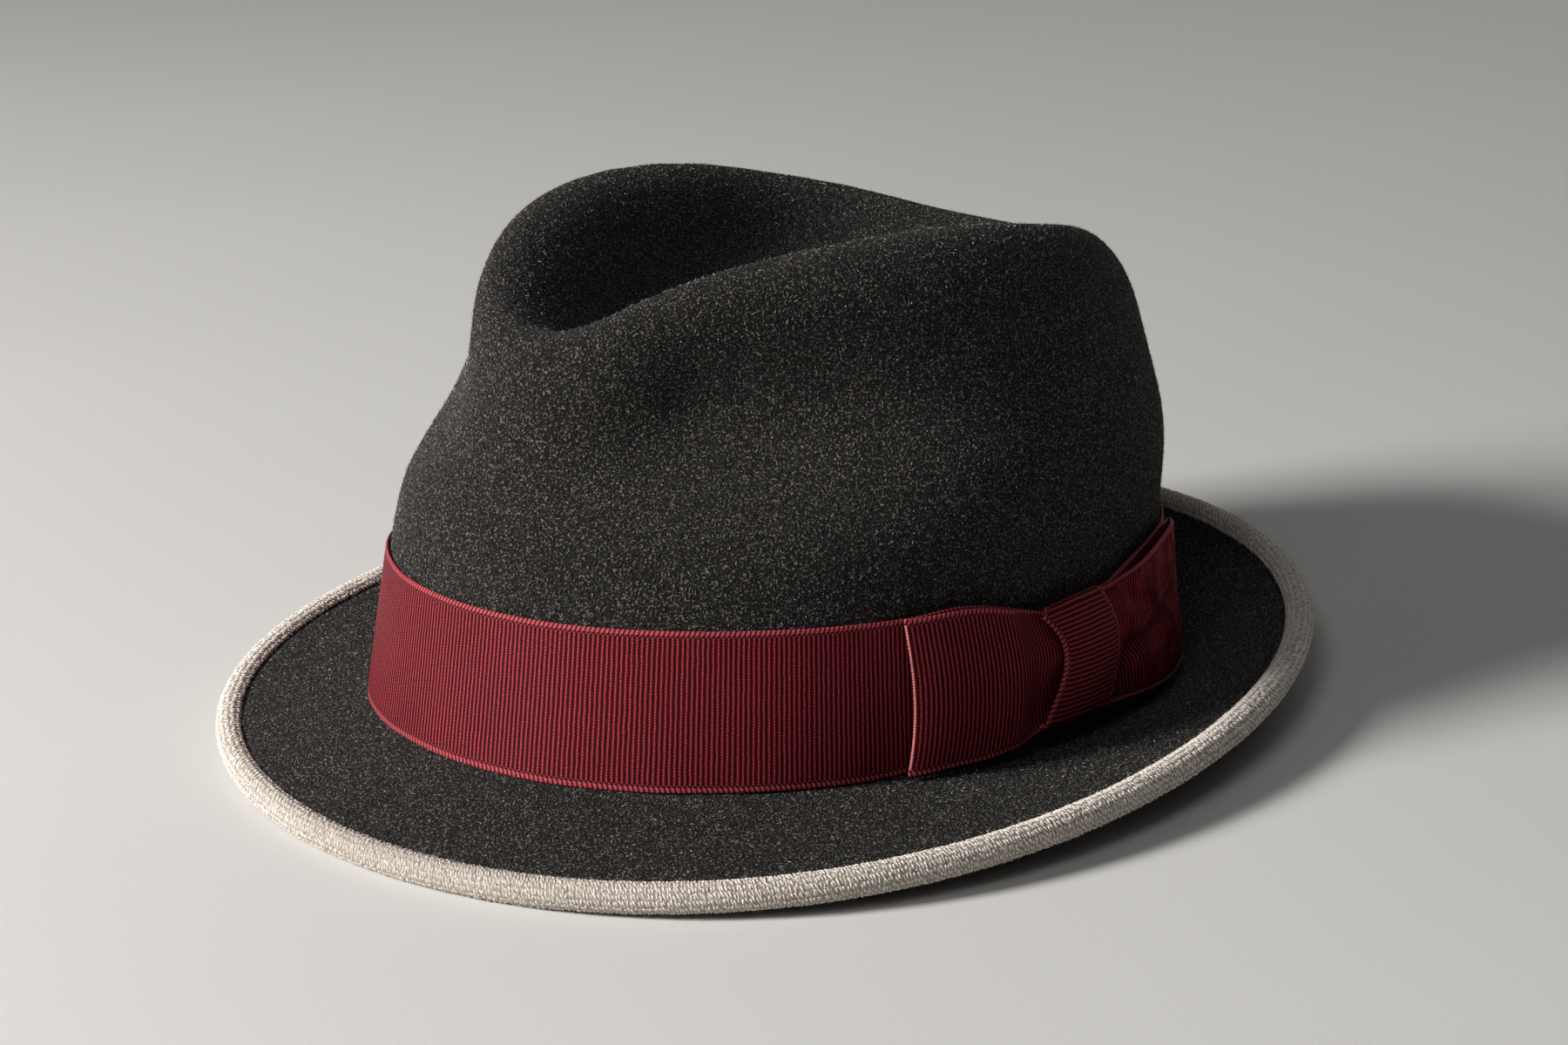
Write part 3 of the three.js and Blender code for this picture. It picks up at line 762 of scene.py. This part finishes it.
def spread(tree, value, low, high, to_low=0.0, to_high=1.0, way="LINEAR"):
    """value brought from low..high to to_low..to_high, and kept there."""
    return add(tree, "ShaderNodeMapRange", {
        "Value": value, "From Min": low, "From Max": high, "To Min": to_low, "To Max": to_high,
    }, interpolation_type=way).outputs["Result"]


def blend(tree, share, a, b, way="MIX"):
    node = add(tree, "ShaderNodeMix", {0: share, 6: a, 7: b}, data_type="RGBA", blend_type=way)
    return node.outputs[2]


def noise(tree, place, size, detail, roughness=0.5):
    """Even noise whose lumps are about size across, in the units of place."""
    return add(tree, "ShaderNodeTexNoise", {
        "Vector": place, "Scale": 1 / size, "Detail": detail, "Roughness": roughness,
    }).outputs["Fac"]


def rgb(red, green, blue):
    return (red, green, blue, 1.0)


def new_group(name, inputs, outputs):
    """A shader node group with named sockets, and what it is given and puts out, seen from inside."""
    group = bpy.data.node_groups.new(name, "ShaderNodeTree")
    for label, kind, value in inputs:
        socket = group.interface.new_socket(label, in_out="INPUT", socket_type="NodeSocket" + kind)
        if value is not None:
            socket.default_value = value
    for label, kind in outputs:
        group.interface.new_socket(label, in_out="OUTPUT", socket_type="NodeSocket" + kind)
    given, out = group.nodes.new("NodeGroupInput"), group.nodes.new("NodeGroupOutput")
    return group, given.outputs, out.inputs


def use(tree, group, inputs):
    return add(tree, "ShaderNodeGroup", inputs, node_tree=group)


# ------------------------------------------------------------------ shared finishes

def make_curly_fibres():
    """Short fibres that lie every way: lines where a twisted noise crosses its middle."""
    group, given, out = new_group("curly_fibres", [
        ("Place", "Vector", None), ("Size", "Float", 0.5), ("Curl", "Float", 1.0),
        ("Thinness", "Float", 14.0),
    ], [("Fibres", "Float")])
    scale = calc(group, "DIVIDE", 1.0, given["Size"])

    def strands(offset, finer):
        moved = vector_calc(group, "ADD", {0: given["Place"], 1: offset})
        wave = add(group, "ShaderNodeTexNoise", {
            "Vector": moved, "Scale": calc(group, "MULTIPLY", scale, finer), "Detail": 1.5,
            "Roughness": 0.55, "Distortion": given["Curl"],
        }).outputs["Fac"]
        off_middle = calc(group, "ABSOLUTE", calc(group, "SUBTRACT", wave, 0.5))
        line = calc(group, "SUBTRACT", 1.0, calc(group, "MULTIPLY", off_middle, given["Thinness"]))
        return calc(group, "MAXIMUM", line, 0.0)

    both = calc(group, "MAXIMUM", strands((31.0, 7.0, 3.0), 1.0), strands((5.0, 43.0, 17.0), 1.7))
    group.links.new(both, out["Fibres"])
    return group


def make_uneven_dye():
    """Broad cloudy shading, as dyed and handled cloth has."""
    group, given, out = new_group("uneven_dye", [
        ("Place", "Vector", None), ("Size", "Float", 20.0), ("Amount", "Float", 0.1),
    ], [("Shade", "Float")])
    cloud = add(group, "ShaderNodeTexNoise", {
        "Vector": given["Place"], "Scale": calc(group, "DIVIDE", 1.0, given["Size"]), "Detail": 3.0,
        "Roughness": 0.55,
    }).outputs["Fac"]
    swing = calc(group, "MULTIPLY", calc(group, "SUBTRACT", cloud, 0.5), 4.0)
    shade = calc(group, "MULTIPLY_ADD", swing, given["Amount"], 1.0)
    group.links.new(shade, out["Shade"])
    return group


CURLY_FIBRES = make_curly_fibres()
UNEVEN_DYE = make_uneven_dye()


def new_material(name):
    material = bpy.data.materials.new(name)
    material.use_nodes = True
    tree = material.node_tree
    tree.nodes.clear()
    shader = tree.nodes.new("ShaderNodeBsdfPrincipled")
    output = tree.nodes.new("ShaderNodeOutputMaterial")
    tree.links.new(shader.outputs["BSDF"], output.inputs["Surface"])
    return material, tree, shader


def place_in_mm(tree):
    here = tree.nodes.new("ShaderNodeTexCoord").outputs["Object"]
    return vector_calc(tree, "SCALE", {0: here, "Scale": 1 / MM})


def set_plain(shader, **values):
    """Constant values, set on the shader's own sockets."""
    for name, value in values.items():
        shader.inputs[name.replace("_", " ")].default_value = value


def shaded(tree, colour, shade):
    """colour made lighter or darker by a factor."""
    grey = add(tree, "ShaderNodeCombineColor", {0: shade, 1: shade, 2: shade}).outputs[0]
    return blend(tree, 1.0, colour, grey, "MULTIPLY")


def bumped(tree, height, distance):
    """A normal for a surface whose height of 1 stands for a distance in mm."""
    return add(tree, "ShaderNodeBump", {
        "Height": height, "Distance": distance * MM, "Strength": 1.0,
    }).outputs["Normal"]


# ------------------------------------------------------------------ felt

# painted shade in the pits between the felt's clumps
FELT_PIT_SHADE = rgb(0.0020, 0.0019, 0.0018)
FELT_BODY = rgb(0.0042, 0.0039, 0.0036)
# the fibre ends' flecks: partly their paler colour, partly painted glints
FELT_FIBRE_AND_GLINT = rgb(0.320, 0.297, 0.275)
FELT_GRAIN = 0.53        # sizes in mm of the fibre ends, their clumps and the pressed hollows
FELT_CLUMP = 1.5
FELT_HOLLOW = 5.0
FELT_LIT = (0.550, 0.650)    # grain at which a fibre's end begins to show as a light fleck, partly its paler colour and partly a painted glint, and at which it is full
FELT_STRAY = 0.15        # how light the stray hairs are beside the fibre ends


def felt_finish():
    """A near-black ground with painted shade where its clumps are low, and light flecks for the fibre
    ends: partly their paler colour, partly painted glints where they catch the light.
    """
    material, tree, shader = new_material("charcoal_wool_felt")
    here = place_in_mm(tree)
    grain = noise(tree, here, FELT_GRAIN, 2.0, 0.7)
    clumps = noise(tree, here, FELT_CLUMP, 3.0, 0.6)
    hollows = noise(tree, here, FELT_HOLLOW, 2.0)
    hairs = use(tree, CURLY_FIBRES, {"Place": here, "Size": 1.1, "Curl": 1.8, "Thinness": 22.0})
    dye = use(tree, UNEVEN_DYE, {"Place": here, "Size": 24.0, "Amount": 0.09})
    # Painted shade: the ground is darker where the clumps are low, which the bump makes hollow.
    ground = blend(tree, spread(tree, clumps, 0.36, 0.64), FELT_PIT_SHADE, FELT_BODY)
    stray = calc(tree, "MULTIPLY", hairs.outputs["Fibres"], FELT_STRAY)
    # Light flecks on the raised grain: the fibre ends' paler colour, and painted glints where they
    # catch the light.
    lit = calc(tree, "MAXIMUM", spread(tree, grain, *FELT_LIT, way="SMOOTHSTEP"), stray)
    fibres_and_glints = blend(tree, calc(tree, "MULTIPLY", lit, 0.8), ground, FELT_FIBRE_AND_GLINT)
    tree.links.new(shaded(tree, fibres_and_glints, dye.outputs["Shade"]), shader.inputs["Base Color"])
    tree.links.new(spread(tree, grain, 0.4, 0.7, 0.95, 0.6), shader.inputs["Roughness"])
    height = calc(tree, "MULTIPLY_ADD", grain, 3.0, clumps)
    height = calc(tree, "MULTIPLY_ADD", hollows, 1.2, height)
    tree.links.new(bumped(tree, height, 0.75), shader.inputs["Normal"])
    set_plain(shader, Specular_IOR_Level=0.12, Sheen_Weight=0.03, Sheen_Roughness=0.4,
              Sheen_Tint=rgb(0.86, 0.84, 0.82))
    return material


NAP_DARK = rgb(0.012, 0.011, 0.010)
NAP_LIGHT = rgb(0.560, 0.533, 0.500)


def nap_finish(name, dark, light, size):
    """Loose fibres, some light and some dark."""
    material, tree, shader = new_material(name)
    here = place_in_mm(tree)
    pick = spread(tree, noise(tree, here, size, 1.0), 0.47, 0.66)
    tree.links.new(blend(tree, pick, dark, light), shader.inputs["Base Color"])
    set_plain(shader, Roughness=0.55, Specular_IOR_Level=0.5)
    return material


# ------------------------------------------------------------------ ribbon

# painted shade in the gaps between the ribs, between the edge's loops and between the stitches
RIBBON_GAP_SHADE = rgb(0.0120, 0.0002, 0.0009)
RIBBON_BODY_COLOUR = rgb(0.074, 0.0015, 0.0056)
# painted highlight on the crests of the ribs and on the edge's loops
RIBBON_CREST_HIGHLIGHT = rgb(0.510, 0.078, 0.098)
RIBBON_STITCH = rgb(0.420, 0.110, 0.110)
# painted highlight: the beaded line of light on the rib round a loop's fold
RIBBON_FOLD_HIGHLIGHT = rgb(0.950, 0.360, 0.330)
WEFT_PITCH = 0.52        # between the threads seen on a rib
WEFT_STEP = 0.37         # by which they shift from one rib to the next
GAP_SHADE = (0.15, 0.6)      # of a rib's height: the painted shade of the gap, and the full colour
RIB_LIT = (0.80, 0.995)      # of a rib's height: where its threads begin to shine, and shine most


def ribbon_finish(name, width, fold_shine=0.0):
    """Ribs with painted shade in the gap between them and a painted highlight, a bead of light, for
    each thread, and at each side a row of stitches and the woven edge, with painted highlights on its
    loops. fold_shine: how bright the painted highlight on the first rib is, where a loop folds."""
    material, tree, shader = new_material(name)
    here = place_in_mm(tree)
    weave = add(tree, "ShaderNodeUVMap", {}, uv_map="weave").outputs["UV"]
    parts = add(tree, "ShaderNodeSeparateXYZ", {0: weave})
    rib, across = parts.outputs[0], parts.outputs[1]
    edge = calc(tree, "MINIMUM", across, calc(tree, "SUBTRACT", width, across))
    off_crest = calc(tree, "SUBTRACT", rib, 0.5)
    wander = calc(tree, "MULTIPLY", calc(tree, "SUBTRACT", noise(tree, here, 3.0, 2.0), 0.5), 0.3)
    swing = calc(tree, "MULTIPLY", calc(tree, "ADD", off_crest, wander), math.pi)
    crest = calc(tree, "ABSOLUTE", calc(tree, "COSINE", swing))
    in_ribs = spread(tree, edge, STITCH_AT, 1.5)
    in_edge = spread(tree, edge, SELVEDGE - 0.05, SELVEDGE + 0.08, 1.0, 0.0)
    wefts = calc(tree, "MULTIPLY_ADD", calc(tree, "FLOOR", rib), WEFT_STEP,
                 calc(tree, "MULTIPLY", across, 1 / WEFT_PITCH))
    wefts = calc(tree, "ADD", wefts, calc(tree, "MULTIPLY", noise(tree, here, 1.4, 1.0), 1.6))
    bead = calc(tree, "ABSOLUTE", calc(tree, "SINE", calc(tree, "MULTIPLY", wefts, math.pi)))
    hair = use(tree, CURLY_FIBRES, {"Place": here, "Size": 0.6, "Curl": 0.6, "Thinness": 10.0})
    dye = use(tree, UNEVEN_DYE, {"Place": here, "Size": 16.0, "Amount": 0.08})
    # Painted highlights: a bead of light on each thread along a rib's crest.
    lit = spread(tree, crest, *RIB_LIT, way="SMOOTHSTEP")
    threads = calc(tree, "MULTIPLY", lit, calc(tree, "MULTIPLY_ADD", bead, 0.94, 0.06))
    # Painted shade in the gap between the ribs.
    colour = blend(tree, spread(tree, crest, *GAP_SHADE), RIBBON_GAP_SHADE, RIBBON_BODY_COLOUR)
    colour = blend(tree, calc(tree, "MULTIPLY", threads, 0.9), colour, RIBBON_CREST_HIGHLIGHT)
    # Painted highlight on the rib round a loop's fold, beaded by the threads.
    dots = spread(tree, bead, 0.35, 0.95, 0.12, 1.0)
    near_fold = spread(tree, calc(tree, "ABSOLUTE", off_crest), 0.08, 0.27, 1.0, 0.0)
    fold_highlight = calc(tree, "MULTIPLY", near_fold, dots)
    colour = blend(tree, calc(tree, "MULTIPLY", fold_highlight, fold_shine), colour, RIBBON_FOLD_HIGHLIGHT)
    slanted = calc(tree, "ADD", spread(tree, edge, 0, SELVEDGE, 0, EDGE_SLANT), off_crest)
    loop = calc(tree, "ABSOLUTE", calc(tree, "COSINE", calc(tree, "MULTIPLY", slanted, math.pi)))
    # The woven edge's loops, with painted highlights on them and painted shade between them.
    loops = blend(tree, spread(tree, loop, 0.2, 0.95), RIBBON_GAP_SHADE, RIBBON_CREST_HIGHLIGHT)
    # The row of stitches, with painted shade between them.
    off_stitches = calc(tree, "ABSOLUTE", calc(tree, "SUBTRACT", edge, STITCH_AT))
    dot = calc(tree, "MULTIPLY", spread(tree, off_stitches, 0.05, 0.17, 1.0, 0.0),
               spread(tree, crest, 0.25, 0.6, 1.0, 0.0))
    border = blend(tree, dot, RIBBON_GAP_SHADE, RIBBON_STITCH)
    colour = blend(tree, in_ribs, border, colour)
    colour = blend(tree, in_edge, colour, loops)
    tree.links.new(shaded(tree, colour, dye.outputs["Shade"]), shader.inputs["Base Color"])
    tree.links.new(spread(tree, threads, 0, 1, 0.62, 0.36), shader.inputs["Roughness"])
    hair_height = calc(tree, "MULTIPLY", hair.outputs["Fibres"], 0.3)
    height = calc(tree, "MULTIPLY_ADD", bead, 0.8, hair_height)
    tree.links.new(bumped(tree, height, 0.10), shader.inputs["Normal"])
    set_plain(shader, Specular_IOR_Level=0.16, Specular_Tint=rgb(1.0, 0.42, 0.42),
              Sheen_Weight=0.02, Sheen_Roughness=0.35, Sheen_Tint=rgb(1.0, 0.30, 0.30))
    return material


# ------------------------------------------------------------------ piping

PIPING_LIGHT = rgb(0.925, 0.862, 0.795)
PIPING_BODY = rgb(0.640, 0.570, 0.500)
# painted shade in the grooves between the piping's yarns
PIPING_GROOVE_SHADE = rgb(0.160, 0.125, 0.098)


def piping_finish():
    """The ground of the twill, seen between its yarns: painted shade as in the grooves, with lighter
    fibres across it.
    """
    material, tree, shader = new_material("ivory_twill_ground")
    here = place_in_mm(tree)
    threads = use(tree, CURLY_FIBRES, {"Place": here, "Size": 0.5, "Curl": 0.8, "Thinness": 8.0})
    dye = use(tree, UNEVEN_DYE, {"Place": here, "Size": 13.0, "Amount": 0.07})
    # Painted shade between the fibres of the ground.
    colour = blend(tree, threads.outputs["Fibres"], PIPING_GROOVE_SHADE, PIPING_BODY)
    tree.links.new(shaded(tree, colour, dye.outputs["Shade"]), shader.inputs["Base Color"])
    tree.links.new(bumped(tree, threads.outputs["Fibres"], 0.12), shader.inputs["Normal"])
    set_plain(shader, Roughness=0.95, Specular_IOR_Level=0.2)
    return material


def yarn_finish():
    """The yarns over that ground, paler where they are worn."""
    material, tree, shader = new_material("ivory_twill_yarns")
    here = place_in_mm(tree)
    plies = use(tree, CURLY_FIBRES, {"Place": here, "Size": 0.45, "Curl": 0.7, "Thinness": 8.0})
    dye = use(tree, UNEVEN_DYE, {"Place": here, "Size": 11.0, "Amount": 0.08})
    worn = spread(tree, noise(tree, here, 1.1, 2.0), 0.35, 0.65)
    colour = blend(tree, worn, PIPING_BODY, PIPING_LIGHT)
    colour = blend(tree, calc(tree, "MULTIPLY", plies.outputs["Fibres"], 0.3), colour, PIPING_LIGHT)
    tree.links.new(shaded(tree, colour, dye.outputs["Shade"]), shader.inputs["Base Color"])
    tree.links.new(bumped(tree, plies.outputs["Fibres"], 0.06), shader.inputs["Normal"])
    set_plain(shader, Roughness=0.8, Specular_IOR_Level=0.3, Sheen_Weight=0.2, Sheen_Roughness=0.5)
    return material


# ------------------------------------------------------------------ floor

FLOOR_COLOUR = rgb(0.62, 0.615, 0.60)
FLOOR_HALF_WIDTH = 4.0
FLOOR_NEAR = -4.0        # metres from the hat, away from the camera
FLOOR_FAR = 3.6
BACKDROP_BEND = 1.2
BACKDROP_HEIGHT = 4.0
BACKDROP_STEPS = 16


def floor_finish():
    material, tree, shader = new_material("pale_studio_floor")
    here = place_in_mm(tree)
    dye = use(tree, UNEVEN_DYE, {"Place": here, "Size": 160.0, "Amount": 0.012})
    tree.links.new(shaded(tree, FLOOR_COLOUR, dye.outputs["Shade"]), shader.inputs["Base Color"])
    tree.links.new(bumped(tree, noise(tree, here, 1.2, 3.0), 0.03), shader.inputs["Normal"])
    set_plain(shader, Roughness=0.85, Specular_IOR_Level=0.2)
    return material


def studio_floor():
    """A flat floor that turns up into a plain backdrop far behind the hat."""
    away = Vector((CAMERA_AIM.x, CAMERA_AIM.y, 0)).normalized()
    side = Vector((-away.y, away.x, 0)) * FLOOR_HALF_WIDTH
    profile = [(FLOOR_NEAR, 0.0), (FLOOR_FAR, 0.0)]
    profile += [(FLOOR_FAR + BACKDROP_BEND * math.sin(a), BACKDROP_BEND * (1 - math.cos(a)))
                for a in np.linspace(0, math.pi / 2, BACKDROP_STEPS + 1)[1:]]
    profile.append((FLOOR_FAR + BACKDROP_BEND, BACKDROP_HEIGHT))
    vertices = [away * d + side * k + Vector((0, 0, z)) for k in (-1, 1) for d, z in profile]
    n = len(profile)
    faces = [(i, i + 1, n + i + 1, n + i) for i in range(n - 1)]
    mesh = bpy.data.meshes.new("studio_floor")
    mesh.from_pydata([tuple(v) for v in vertices], [], faces)
    for polygon in mesh.polygons:
        polygon.use_smooth = True
    floor = bpy.data.objects.new("studio_floor", mesh)
    bpy.context.scene.collection.objects.link(floor)
    floor.data.materials.append(floor_finish())


# ------------------------------------------------------------------ camera and lights

# The camera as it looks at the level hat, in degrees and millimetres.
CAMERA = dict(turn=44.0055, rise=15.6112, roll=0.9185, away=846.3123, right=1.094, up=33.1415)
LENS = 79.8804
SENSOR = 36.0
HAT_MIDDLE = Vector((0, 0, 0.05))    # where the lights look
WORLD_COLOUR = rgb(0.93, 0.94, 0.95)
WORLD_STRENGTH = 0.048


def way_to(turn, rise):
    """The way out from the hat at a turn round it and a rise over level, in radians."""
    level = math.cos(rise)
    return Vector((math.sin(turn) * level, -math.cos(turn) * level, math.sin(rise)))


def place_camera():
    turn, rise, roll = (math.radians(CAMERA[k]) for k in ("turn", "rise", "roll"))
    back = way_to(turn, rise)
    level = Vector((math.cos(turn), math.sin(turn), 0))
    upright = back.cross(level)
    right = level * math.cos(roll) + upright * math.sin(roll)
    up = upright * math.cos(roll) - level * math.sin(roll)
    spot = back * CAMERA["away"] + right * CAMERA["right"] + up * CAMERA["up"]
    lean = Matrix.Rotation(-LEAN, 3, "X")
    right, up, back, spot = (lean @ v for v in (right, up, back, spot))
    spot = (spot + Vector((0, MIDDLE_SHIFT, FOOT_HEIGHT))) * MM
    data = bpy.data.cameras.new("camera")
    data.lens, data.sensor_width = LENS, SENSOR
    data.clip_start, data.clip_end = 0.05, 50
    camera = bpy.data.objects.new("camera", data)
    turned = Matrix((right, up, back)).transposed().to_4x4()
    camera.matrix_world = Matrix.Translation(spot) @ turned
    bpy.context.scene.collection.objects.link(camera)
    bpy.context.scene.camera = camera
    return -back


CAMERA_AIM = place_camera()


def softbox(name, turn, rise, away, size, watts, colour=(1, 1, 1)):
    """An area light that looks at the hat. turn is counted from the camera to its right, in degrees."""
    spot = way_to(math.radians(CAMERA["turn"] + turn), math.radians(rise)) * away
    data = bpy.data.lights.new(name, "AREA")
    data.shape, data.size, data.size_y = "RECTANGLE", size[0], size[1]
    data.energy, data.color = watts, colour
    light = bpy.data.objects.new(name, data)
    light.location = spot
    light.rotation_euler = (HAT_MIDDLE - spot).to_track_quat("-Z", "Y").to_euler()
    bpy.context.scene.collection.objects.link(light)


def studio_lights():
    softbox("key_softbox", -70, 30, 1.8, (0.45, 0.45), 50, (1.0, 0.975, 0.945))
    softbox("top_softbox", -22, 52, 2.2, (0.8, 0.8), 6, (0.97, 0.985, 1.0))
    softbox("back_softbox", 150, 35, 2.0, (1.4, 0.7), 3)
    world = bpy.data.worlds.new("studio")
    world.use_nodes = True
    background = world.node_tree.nodes["Background"]
    background.inputs["Color"].default_value = WORLD_COLOUR
    background.inputs["Strength"].default_value = WORLD_STRENGTH
    bpy.context.scene.world = world


# ------------------------------------------------------------------ the hat

felt = finish_piece(felt_body(), felt_finish(), "felt", "felt_body")
nap_cloth = nap_finish("charcoal_wool_nap", NAP_DARK, NAP_LIGHT, 0.9)
finish_piece(nap("felt_nap_lying", 71, **LYING), nap_cloth, "felt", "felt_body")
finish_piece(nap("felt_nap_standing", 72, **STANDING), nap_cloth, "felt", "felt_body")

finish_piece(piped_edge(), piping_finish(), "piping", "brim_piping")
finish_piece(piping_yarns(), yarn_finish(), "piping", "brim_piping")
fuzz_cloth = nap_finish("ivory_fuzz", PIPING_BODY, PIPING_LIGHT, 0.9)
finish_piece(piping_fuzz(), fuzz_cloth, "piping", "brim_piping")

ribbon_cloth = ribbon_finish("wine_grosgrain", BAND_WIDTH)
band = finish_piece(ribbon_band(), ribbon_cloth, "ribbon", "ribbon_band")
loop_cloth = ribbon_finish("wine_grosgrain_loops", LOOP_WIDTH, 0.85)
front_loop, front_length = bow_loop("bow_front_loop_ribbon", FRONT_LOOP, FRONT_FOLD)
rear_loop, rear_length = bow_loop("bow_rear_loop_ribbon", REAR_LOOP, REAR_FOLD)
finish_piece(front_loop, loop_cloth, "ribbon", "bow_front_loop")
finish_piece(rear_loop, loop_cloth, "ribbon", "bow_rear_loop")
knot, knot_width, knot_length = bow_knot()
finish_piece(knot, ribbon_finish("wine_grosgrain_knot", knot_width), "ribbon", "bow_knot")

studio_floor()
studio_lights()
bpy.context.scene.view_settings.view_transform = "Standard"
